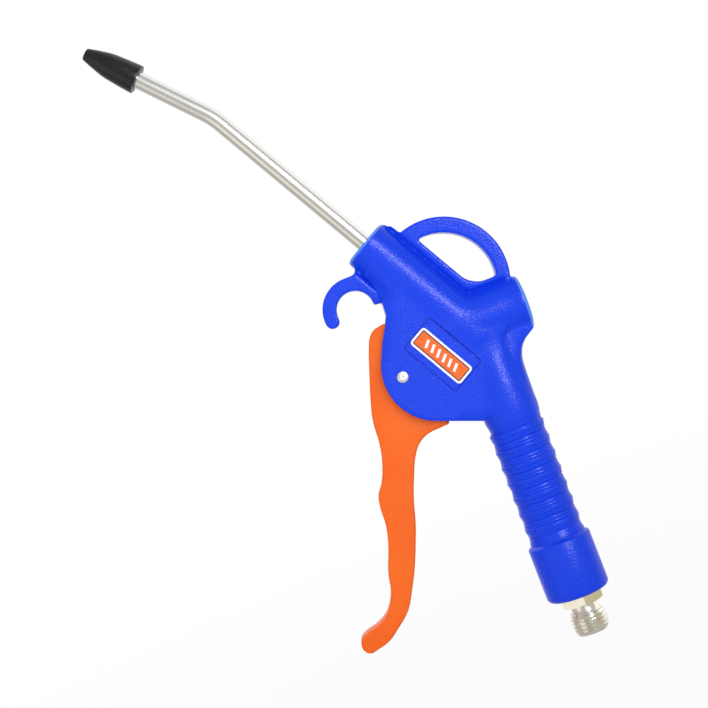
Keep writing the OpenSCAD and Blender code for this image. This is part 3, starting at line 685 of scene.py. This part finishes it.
gripSizes = {
    "footR": 8.68, "footDepth": 1.5, "collarR": 11.15, "collarZ": (13.9, 34.15),
    "footRound": 2, "topRound": 0.9, "meanR": 9.55, "pitch": 5.67, "ribs": 7, "firstZ": 35.4,
    "lean": 0.0045,  # the ribs' centre moves back this much for each millimetre up
    # one rib: share of the pitch, and height over the mean; four fine lines are cut into it
    "rib": [(0.0, 0.18), (0.025, 0.0), (0.05, -0.1), (0.075, 0.02), (0.11, 0.04), (0.2, -0.1),
            (0.225, -0.24), (0.25, -0.15), (0.3, -0.17), (0.4, -0.18), (0.425, -0.3),
            (0.45, -0.42), (0.475, -0.26), (0.5, -0.14), (0.6, -0.07), (0.7, 0.06),
            (0.725, -0.04), (0.75, 0.11), (0.78, 0.17), (0.85, 0.24), (0.92, 0.28), (0.97, 0.26)],
    "neck": [(10.0, 34.55), (9.78, 34.75), (9.74, 34.95), (9.85, 35.15), (9.8, 35.5), (9.55, 36.1),
             (9.4, 36.9), (9.36, 37.7), (9.2, 37.92), (9.38, 38.15), (9.46, 38.8), (9.62, 39.4),
             (9.75, 39.8), (9.8, 40.2), (9.78, 40.5), (9.73, 40.87)],
    "top": [(9.35, 75.6), (0, 75.8)],
}


def ribbedGrip():
    g = gripSizes
    low, high = g["collarZ"]
    foot, top = g["footRound"], g["topRound"]
    inside = low + g["footDepth"]
    profile = [(0, inside), (g["footR"], inside), (g["footR"], low), (g["collarR"] - foot, low)]
    profile += arc((g["collarR"] - foot, low + foot), foot, -80, 0, 8)
    profile += arc((g["collarR"] - top, high - top), top, 10, 75, 5)
    profile += g["neck"]
    for k in range(1, g["ribs"]):
        profile += [(g["meanR"] + h, g["firstZ"] + (k + t) * g["pitch"]) for t, h in g["rib"]]
    bm = bmesh.new()
    spin(bm, profile + g["top"], 160)
    for v in bm.verts:
        v.co.x += g["lean"] * max(0, v.co.z - g["firstZ"])
    return temporary(bm)


boreSizes = {
    # passages and pockets, as the inner pieces need them: radius, length and start
    "grip": [(6.92, 15.04, 15.36), (2.5, 85, 30)],
    "valve": [(6.32, 33.9, -14.5), (7.52, 3, 17.7), (3.02, 2, -16.3), (1.75, 8, -20)],
    "nose": [(2.5, 25, 0), (5.32, 16, 24.3), (3.9, 6, 39.9)],
    "pin": (2.12, 20),  # radius and length
    # the lever's slot between the cheeks
    "slot": [(-18.5, 126.4), (-90, 126.4), (-90, 20), (-13, 20), (-13, 93.1), (-18.5, 105.5)],
    "slotWide": 10,
    # each label lies in a shallow recess, with a fine line cut round its floor
    "recess": (14.2, 23.4), "recessCorner": 0.9, "recessFloor": 7.6, "lineWide": 0.4,
    "lineFloor": 7.1,
}


def recessTool(side, inset, floor):
    # a block with rounded corners over the label's place, down to the floor
    wide, tall = (size - 2 * inset for size in boreSizes["recess"])
    thick = 2
    bm = bmesh.new()
    bmesh.ops.create_cube(bm, size=1, matrix=place(
        labelFrame(), Matrix.Translation((0, side * (floor + thick / 2), 0)),
        Matrix.Diagonal((wide, thick, tall, 1))))
    upright = [e for e in bm.edges if abs(e.verts[0].co.y - e.verts[1].co.y) > thick / 2]
    bmesh.ops.bevel(bm, geom=upright, offset=boreSizes["recessCorner"], segments=4, profile=0.5,
                    affect="EDGES", material=-1)
    return temporary(bm)


def boreTools():
    b = boreSizes
    tools = []
    for name, frameAt in (("grip", lambda start: Matrix.Translation((0, 0, start))),
                          ("valve", across), ("nose", along)):
        tools += [barTool(radius, length, frameAt(start)) for radius, length, start in b[name]]
    px, _, pz = gun["pivot"]
    tools.append(barTool(*b["pin"], sideways(px, pz, b["pin"][1])))
    bm = bmesh.new()
    plate(bm, b["slot"], b["slotWide"])
    tools.append(temporary(bm))
    for side in (-1, 1):
        tools.append(recessTool(side, 0, b["recessFloor"]))
        # the line's tool is a frame, a block with a smaller one taken out of it
        line = recessTool(side, 0, b["lineFloor"])
        tools.append(combine(line, [recessTool(side, b["lineWide"], b["lineFloor"] - 0.5)]))
    return tools


body = soften(bodyCore())
print("body core", len(body.data.polygons), "faces")
combine(body, [ribbedGrip()], "UNION")
combine(body, boreTools())
complete(body, "mouldedBody", finishes["body"], "gun", ["body"], 40)

# lever
leverSizes = {
    "width": 9.4, "round": 0.9, "reach": 84.6,
    # radius and length of the pin's hole and of the bar that the claw is cut from
    "hole": (2.15, 20), "claw": (1.2, 8.1),
    # two corners of the head's pocket and of the gap in its claw, counted from the pin
    "pocket": ((-6.56, -3.4, 4), (14.44, 3.4, 14)), "gap": ((-2.4, -2, 4), (18.6, 2, 15.6)),
    # its side, in shares of its reach from the pin, up the back of the head and down the front
    "outline": [
        (0.013, 0.227), (-0.017, 0.225), (-0.044, 0.217), (-0.065, 0.197), (-0.085, 0.157),
        (-0.118, 0.065), (-0.15, -0.03), (-0.1755, -0.125), (-0.1845, -0.226), (-0.2055, -0.312),
        (-0.233, -0.374), (-0.264, -0.42), (-0.273, -0.46), (-0.278, -0.538), (-0.299, -0.623),
        (-0.34, -0.73), (-0.355, -0.798), (-0.375, -0.84), (-0.407, -0.879), (-0.453, -0.905),
        (-0.508, -0.92), (-0.532, -0.933), (-0.544, -0.957), (-0.54, -0.983), (-0.521, -1),
        (-0.487, -0.996), (-0.429, -0.979), (-0.382, -0.947), (-0.317, -0.892), (-0.27, -0.816),
        (-0.229, -0.738), (-0.189, -0.644), (-0.162, -0.574), (-0.135, -0.483), (-0.098, -0.389),
        (-0.063, -0.316), (-0.028, -0.274), (0.017, -0.252), (0.084, -0.246), (0.112, -0.239),
        (0.104, -0.229), (0.083, -0.165), (0.066, -0.083), (0.061, 0), (0.059, 0.095),
        (0.052, 0.177), (0.039, 0.216)],
}


def curvedPlate(points, thickness, roundR, name):
    # a flat curve through the points, with a thickness and rounded edges, turned upright
    curve = bpy.data.curves.new(name, "CURVE")
    curve.dimensions = "2D"
    curve.fill_mode = "BOTH"
    curve.resolution_u = 4
    line = curve.splines.new("BEZIER")
    line.bezier_points.add(len(points) - 1)
    line.use_cyclic_u = True
    for knot, (x, z) in zip(line.bezier_points, points):
        knot.co = (x, z, 0)
        knot.handle_left_type = knot.handle_right_type = "AUTO"
    curve.extrude = thickness / 2 - roundR
    curve.bevel_depth = roundR
    curve.bevel_resolution = 3
    curve.offset = -roundR
    drawn = bpy.data.objects.new(name, curve)
    scene.collection.objects.link(drawn)
    bpy.context.view_layer.update()
    mesh = bpy.data.meshes.new_from_object(
        drawn.evaluated_get(bpy.context.evaluated_depsgraph_get()))
    bpy.data.objects.remove(drawn)
    bm = bmesh.new()
    bm.from_mesh(mesh)
    bpy.data.meshes.remove(mesh)
    bmesh.ops.remove_doubles(bm, verts=bm.verts, dist=1e-4)
    bmesh.ops.rotate(bm, cent=(0, 0, 0), matrix=Matrix.Rotation(math.pi / 2, 3, "X"),
                     verts=bm.verts)
    return bm


def leverShape():
    s = leverSizes
    px, _, pz = gun["pivot"]
    bm = curvedPlate([(s["reach"] * x, s["reach"] * z) for x, z in s["outline"]],
                     s["width"], s["round"], "lever")
    bmesh.ops.translate(bm, vec=gun["pivot"], verts=bm.verts)
    lever = temporary(bm, "lever")
    combine(lever, [barTool(*s["hole"], sideways(px, pz, s["hole"][1]), 64),
                    blockTool(*s["pocket"], gun["pivot"])])
    claw = barTool(*s["claw"], sideways(px, gun["elbow"][2], s["claw"][1]), 32)
    combine(lever, [claw], "UNION")
    return combine(lever, [blockTool(*s["gap"], gun["pivot"])])


complete(leverShape(), "pullLever", finishes["lever"], "lever", ["lever"], 40)

# threaded inlet
inletSizes = {
    "pitch": 1.337, "turns": 7, "turnSteps": 48, "startZ": -1.2,
    # half of one V of the thread: radius, and height in shares of the pitch
    "ridge": [(6.58, 0.09), (5.72, 0.44), (5.42, 0.49)],
    # what the thread's crests may fill: a lead-in below and a run-out into the neck above
    "envelope": [(0, 0.01), (5.2, 0.01), (5.5, 0.25), (6.1, 1.3), (6.45, 2.5), (6.58, 3.8),
                 (6.56, 5.2), (6.3, 6.3), (5.7, 7.5), (5.0, 8.6), (0, 8.6)],
    "core": [(0, 0), (5.0, 0), (5.3, 0.12), (5.72, 0.9), (5.72, 6.2), (5.5, 7.2), (5.0, 8.3),
             (4.75, 9.2), (4.75, 12), (5.4, 12), (5.4, 27.9), (0, 27.9)],
    "hexR": 14 / 2 / math.cos(math.pi / 6), "hexTurn": 1, "hexZ": (10.5, 15.4),
    # what turning leaves of the hexagon's corners
    "hexSide": [(0, 10.5), (6.9, 10.5), (8.103, 11.15), (8.103, 14.9), (7, 15.4), (0, 15.4)],
    "bore": (3.5, 40), "boreZ": -5,
}


def threadRidge():
    # one V of the thread, screwed up the stem
    s = inletSizes
    pitch, steps = s["pitch"], s["turnSteps"]
    section = [(r, -share * pitch) for r, share in s["ridge"][::-1]]
    section += [(r, share * pitch) for r, share in s["ridge"]]
    bm = bmesh.new()
    face = bm.faces.new([bm.verts.new((r, 0, z)) for r, z in section])
    bmesh.ops.spin(bm, geom=[face], axis=(0, 0, 1), cent=(0, 0, 0),
                   angle=2 * math.pi * s["turns"], dvec=(0, 0, pitch / steps),
                   steps=steps * s["turns"])
    bmesh.ops.translate(bm, vec=(0, 0, s["startZ"]), verts=bm.verts)
    return temporary(bm)


def threadedInlet():
    s = inletSizes
    stem = turnedTool(s["core"])
    combine(stem, [combine(threadRidge(), [turnedTool(s["envelope"])], "INTERSECT")], "UNION")
    low, high = s["hexZ"]
    turn = Matrix.Rotation(math.radians(s["hexTurn"]), 4, "Z")
    nut = barTool(s["hexR"], high - low, place(Matrix.Translation((0, 0, low)), turn), 6)
    combine(stem, [combine(nut, [turnedTool(s["hexSide"])], "INTERSECT")], "UNION")
    return combine(stem, [barTool(*s["bore"], Matrix.Translation((0, 0, s["boreZ"])), 64)])


complete(threadedInlet(), "threadedInlet", finishes["nickel"], "gun", ["inlet_connector"],
         25)

# tube, tip, pin
tubeSizes = {
    "radii": (3, 2), "bendR": 30, "sides": 72, "steps": 14,
    # from the elbow to its foot and to its bend, and the length past the bend
    "footZ": 26.86, "bendZ": 108, "endLength": 38.2,
}


def pastBend(u):  # the tube's frame, u millimetres past its bend
    r = tubeSizes["bendR"]
    return place(along(tubeSizes["bendZ"]), Matrix.Translation((-r, 0, 0)),
                 Matrix.Rotation(math.radians(-gun["tubeBend"]), 4, "Y"),
                 Matrix.Translation((r, 0, u)))


def drawOut(bm, ring, start, end):
    # pulls a ring of faces from one frame's origin to the other's, and gives the moved ring
    made = bmesh.ops.extrude_face_region(bm, geom=ring)["geom"]
    bmesh.ops.translate(bm, vec=end.translation - start.translation, verts=onlyVerts(made))
    return made


def bentTube():
    # a ring, drawn out along the nose, turned round the bend and drawn out again
    s = tubeSizes
    foot, bend = along(s["footZ"]), along(s["bendZ"])
    bm = bmesh.new()
    rims = []
    for radius in s["radii"]:
        circle = bmesh.ops.create_circle(bm, segments=s["sides"], radius=radius, matrix=foot)
        rims += list({e for v in circle["verts"] for e in v.link_edges})
    ring = drawOut(bm, bmesh.ops.bridge_loops(bm, edges=rims)["faces"], foot, bend)
    turned = bmesh.ops.spin(
        bm, geom=ring, axis=(0, -1, 0), angle=math.radians(gun["tubeBend"]), steps=s["steps"],
        cent=(bend @ Matrix.Translation((-s["bendR"], 0, 0))).translation)
    drawOut(bm, turned["geom_last"], pastBend(0), pastBend(s["endLength"]))
    return temporary(bm)


complete(bentTube(), "bentTube", finishes["steel_tube"], "gun", ["nozzle_tube"], 30)

tipSizes = {
    "startZ": 25.7,  # past the tube's bend
    "side": [(4.95, 0), (5.06, 0.06), (5.1, 0.25), (5.1, 1), (5.06, 2.2), (4.9, 5), (4.72, 7.5),
             (4.54, 10), (4.34, 11.6), (4.0, 13.2), (3.58, 14.8), (3.12, 16.6), (2.62, 18.4),
             (2.2, 19.8), (2.1, 19.97), (1.98, 20)],
    "inside": [(1.15, 20), (1, 19.8), (1, 12.5), (3.02, 12.5), (3.02, 0.12), (3.12, 0)],
}


def rubberTip():
    s = tipSizes
    bm = bmesh.new()
    spin(bm, s["side"] + s["inside"], 96, pastBend(s["startZ"]), closed=True)
    return temporary(bm)


complete(rubberTip(), "rubberTip", finishes["tip_rubber"], "gun", ["rubber_tip"], 40)

# half of the pin's side, from its middle to its low dome and the small dent in that
pinSizes = {"side": [(2.1, 7.65), (2.04, 7.85), (1.85, 7.95), (1.3, 8.168), (0.5, 8.28),
                     (0.35, 8.21), (0, 8.196)]}


def pivotPin():
    side = pinSizes["side"]
    px, _, pz = gun["pivot"]
    bm = bmesh.new()
    spin(bm, [(r, -z) for r, z in side[::-1]] + side, 64, sideways(px, pz, 0))
    return temporary(bm)


complete(pivotPin(), "pivotPin", finishes["steel_pin"], "gun", ["lever_pin"], 50)

# labels
labelSizes = {
    "long": 22.2, "wide": 7.4, "corner": 1.3, "thick": 0.35, "floorY": 7.6, "shift": -0.6,
    "border": 0.75, "line": 0.36,
    # plain slanted bars: how many, their size, tilt and pitch
    "bars": 6, "bar": (3.0, 0.04, 0.95), "barLean": -20, "pitch": 2.5,
}


def labelPiece(side):
    s = labelSizes
    bm = bmesh.new()
    a, b = s["wide"] / 2, s["long"] / 2
    bm.faces.new([bm.verts.new((x, 0, z)) for x, z in ((-a, -b), (a, -b), (a, b), (-a, b))])
    bmesh.ops.bevel(bm, geom=bm.verts[:], offset=s["corner"], segments=6, profile=0.5,
                    affect="VERTICES", material=-1)
    made = bmesh.ops.extrude_face_region(bm, geom=bm.faces[:])["geom"]
    bmesh.ops.translate(bm, vec=(0, side * s["thick"], 0), verts=onlyVerts(made))
    bmesh.ops.recalc_face_normals(bm, faces=bm.faces)
    front = [part for part in made if isinstance(part, bmesh.types.BMFace)]
    for width, index in ((s["border"], 1), (s["line"], 2)):
        bmesh.ops.inset_region(bm, faces=front, thickness=width, use_even_offset=True)
        for f in front:
            f.material_index = index
    for k in range(s["bars"]):
        up = (k - (s["bars"] - 1) / 2) * s["pitch"]
        bmesh.ops.create_cube(bm, size=1, matrix=place(
            Matrix.Translation((0, side * s["thick"], up)),
            Matrix.Rotation(math.radians(s["barLean"]), 4, "Y"), Matrix.Diagonal((*s["bar"], 1))))
    bmesh.ops.transform(bm, verts=bm.verts, matrix=place(
        labelFrame(), Matrix.Translation((s["shift"], side * s["floorY"], 0))))
    return temporary(bm)


for side, name, node in ((-1, "printedLabelLeft", "label_left"),
                         (1, "printedLabelRight", "label_right")):
    label = labelPiece(side)
    for ink in ("white", "line", "orange"):
        label.data.materials.append(inks[ink])
    complete(label, name, None, "gun", [node], 30)


# return spring
def returnSpring():
    # its wire as a piece of its own, with its doubled points merged; the real spring closes up as
    # the stem draws its plate forwards
    bm = bmesh.new()
    bm.from_mesh(nodes["return_spring"].data)
    bmesh.ops.remove_doubles(bm, verts=bm.verts, dist=1e-6)
    mesh = bpy.data.meshes.new("returnSpring")
    bm.to_mesh(mesh)
    bm.free()
    mesh.shade_smooth()
    mesh.set_sharp_from_angle(angle=math.radians(50))
    mesh.materials.append(finishes["steel_spring"])
    wire = bpy.data.objects.new("returnSpring", mesh)
    scene.collection.objects.link(wire)
    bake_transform(wire)
    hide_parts("return_spring")
    print("made returnSpring", len(mesh.polygons), "faces")


returnSpring()

# inner pieces keep their shapes and get their finishes
innerFinish = {
    "grip_insert": "brass", "inlet_washer": "seal_rubber", "valve_sleeve": "brass",
    "sleeve_front_seal": "seal_rubber", "sleeve_rear_seal": "seal_rubber", "gland_bush": "brass",
    "gland_seal": "seal_rubber", "valve_stem": "steel_stem", "piston_seal": "seal_rubber",
    "valve_washer": "seal_rubber", "spring_plate": "brass", "stem_nut": "brass",
    "end_plug": "brass", "plug_seal": "seal_rubber", "nozzle_insert": "brass",
    "nozzle_seal": "seal_rubber",
}
for name, slot in innerFinish.items():
    held = nodes[name].data.materials
    if len(held) == 0:
        held.append(finishes[slot])
    for i in range(len(held)):
        held[i] = finishes[slot]
print("inner pieces finished:", len(innerFinish))

# studio
studio = {
    # the camera's aim, distance and roll, and the width that it sees there
    "aim": (-42.95, 118.8), "distance": 560, "roll": 21, "frameMm": 244.26,
    # direction, inner and outer angle, colour: what the matt surfaces are lit by ...
    "lit": (0.12, [
        ((0, -1, 0), 0, 98, (1.53, 1.53, 1.53)),
        ((0, 1, 0), 0, 90, (0.5, 0.5, 0.5)),
        ((-0.35, 0.5, 0.79), 8, 40, (1.6, 1.6, 1.6)),
    ]),
    # ... and what the glossy ones mirror
    "mirrored": (0.5, [
        ((0, 1, 0), 20, 60, (1.0, 1.0, 1.0)),
        ((0.7, 0.35, 0.62), 16, 42, (1.05, 1.05, 1.05)),
        ((0.16, -0.98, 0.12), 5, 20, (1.0, 1.0, 1.0)),
        ((-0.36, -0.9, -0.24), 6, 16, (0.5, 0.5, 0.47)),
        ((-0.74, -0.5, -0.45), 5, 17, (0.74, 0.74, 0.7)),
        ((-0.839, 0.276, -0.469), 16, 34, (0.5, 0.5, 0.47)),
        ((0.88, -0.43, -0.18), 14, 24, (0.6, 0.54, 0.36)),
        ((-0.82, -0.55, -0.1), 14, 24, (1.0, 0.96, 0.86)),
        ((0.92, 0.38, 0.1), 8, 34, (1.2, 1.2, 1.2)),
        ((-0.4, 0.4, 0.82), 8, 34, (2.0, 2.0, 2.0)),
    ]),
    # a softbox, for its highlights only
    "key": {"direction": (0.42, -0.877, 0.234), "reach": 1100, "size": 440, "power": 6.7},
    # a pale sheet below, which fades into the white between two distances in metres
    "floor": {"radius": 900, "below": 0.1, "white": 0.92, "fade": (0.15, 0.55)},
}


def sky(tree, view, base, cards):
    # an even brightness with softly edged cards in it
    hue = None
    for direction, inner, outer, shade in cards:
        facing = addNode(tree, "ShaderNodeVectorMath",
                         {"operation": "DOT_PRODUCT", 1: Vector(direction).normalized()}, {0: view})
        share = addNode(tree, "ShaderNodeMapRange",
                        {"interpolation_type": "SMOOTHSTEP",
                         "From Min": math.cos(math.radians(outer)),
                         "From Max": math.cos(math.radians(inner))},
                        {"Value": facing.outputs["Value"]})
        mixed = addNode(tree, "ShaderNodeMix",
                        {"data_type": "RGBA", 6: (base, base, base, 1), 7: (*shade, 1)},
                        {0: share.outputs[0]})
        if hue is not None:
            tree.links.new(hue, mixed.inputs[6])
        hue = mixed.outputs[2]
    return addNode(tree, "ShaderNodeBackground", {"Strength": 1.0}, {"Color": hue}).outputs[0]


def makeWorld():
    world = bpy.data.worlds.new("white studio")
    world.use_nodes = True
    scene.world = world
    tree = world.node_tree
    tree.nodes.clear()
    view = addNode(tree, "ShaderNodeTexCoord").outputs["Generated"]
    lit = sky(tree, view, *studio["lit"])
    mirrored = sky(tree, view, *studio["mirrored"])
    white = addNode(tree, "ShaderNodeBackground", {"Color": (1, 1, 1, 1), "Strength": 1.0})
    path = addNode(tree, "ShaderNodeLightPath").outputs
    bright = addNode(tree, "ShaderNodeMath", {"operation": "MAXIMUM"},
                     {0: path["Is Glossy Ray"], 1: path["Is Transmission Ray"]})
    around = addNode(tree, "ShaderNodeMixShader", links={0: bright.outputs[0], 1: lit, 2: mirrored})
    seen = addNode(tree, "ShaderNodeMixShader",
                   links={0: path["Is Camera Ray"], 1: around.outputs[0], 2: white.outputs[0]})
    addNode(tree, "ShaderNodeOutputWorld", links={"Surface": seen.outputs[0]})


def makeKey():
    s = studio["key"]
    lamp = bpy.data.lights.new("key", "AREA")
    lamp.energy = s["power"]
    lamp.size = s["size"] * mm
    lamp.shape = "DISK"
    held = bpy.data.objects.new("key", lamp)
    held.visible_diffuse = False
    scene.collection.objects.link(held)
    away = Vector(s["direction"]).normalized()
    held.location = (Vector((studio["aim"][0], 0, studio["aim"][1])) + away * s["reach"]) * mm
    held.rotation_mode = "QUATERNION"
    held.rotation_quaternion = away.to_track_quat("Z", "Y")


def makeFloor():
    # the sheet keeps the gun's shadow
    s = studio["floor"]
    bm = bmesh.new()
    bmesh.ops.create_circle(bm, cap_ends=True, segments=64, radius=s["radius"])
    bmesh.ops.translate(bm, vec=(0, 0, cadLow.z / mm - s["below"]), verts=bm.verts)
    floor = temporary(bm, "paleFloor")
    floor.data.transform(Matrix.Scale(mm, 4))
    material = bpy.data.materials.new("white paper sweep")
    material.use_nodes = True
    tree = material.node_tree
    tree.nodes.clear()
    paper = addNode(tree, "ShaderNodeBsdfDiffuse", {"Color": colour("#f4f4f4")})
    glow = addNode(tree, "ShaderNodeEmission", {"Color": (1, 1, 1, 1), "Strength": 1.0})
    clear = addNode(tree, "ShaderNodeBsdfTransparent")
    path = addNode(tree, "ShaderNodeLightPath").outputs
    lit = addNode(tree, "ShaderNodeMath", {"operation": "MULTIPLY", 1: s["white"]},
                  {0: path["Is Camera Ray"]})
    pale = addNode(tree, "ShaderNodeMixShader",
                   links={0: lit.outputs[0], 1: paper.outputs[0], 2: glow.outputs[0]})
    spot = addNode(tree, "ShaderNodeTexCoord").outputs["Object"]
    reach = addNode(tree, "ShaderNodeVectorMath", {"operation": "LENGTH"}, {0: spot})
    edge = addNode(tree, "ShaderNodeMapRange", {"From Min": s["fade"][0], "From Max": s["fade"][1]},
                   {"Value": reach.outputs["Value"]})
    # metal looks through it and mirrors the studio
    mirrors = addNode(tree, "ShaderNodeMath", {"operation": "MAXIMUM"},
                      {0: path["Is Glossy Ray"], 1: path["Is Transmission Ray"]})
    gone = addNode(tree, "ShaderNodeMath", {"operation": "MAXIMUM"},
                   {0: edge.outputs[0], 1: mirrors.outputs[0]})
    faded = addNode(tree, "ShaderNodeMixShader",
                    links={0: gone.outputs[0], 1: pale.outputs[0], 2: clear.outputs[0]})
    addNode(tree, "ShaderNodeOutputMaterial", links={"Surface": faded.outputs[0]})
    floor.data.materials.append(material)


def makeCamera():
    s = studio
    lens = bpy.data.cameras.new("photoCamera")
    lens.sensor_width = 36
    lens.lens = lens.sensor_width * s["distance"] / s["frameMm"]
    lens.clip_start, lens.clip_end = 0.01, 10
    camera = bpy.data.objects.new("photoCamera", lens)
    scene.collection.objects.link(camera)
    camera.location = Vector((s["aim"][0], -s["distance"], s["aim"][1])) * mm
    camera.rotation_mode = "QUATERNION"
    turned = Matrix.Rotation(math.radians(s["roll"]), 4, "Y") @ Matrix.Rotation(math.pi / 2, 4, "X")
    camera.rotation_quaternion = turned.to_quaternion()
    scene.camera = camera


makeWorld()
makeKey()
makeFloor()
makeCamera()
scene.view_settings.view_transform = "Standard"
print("studio set")
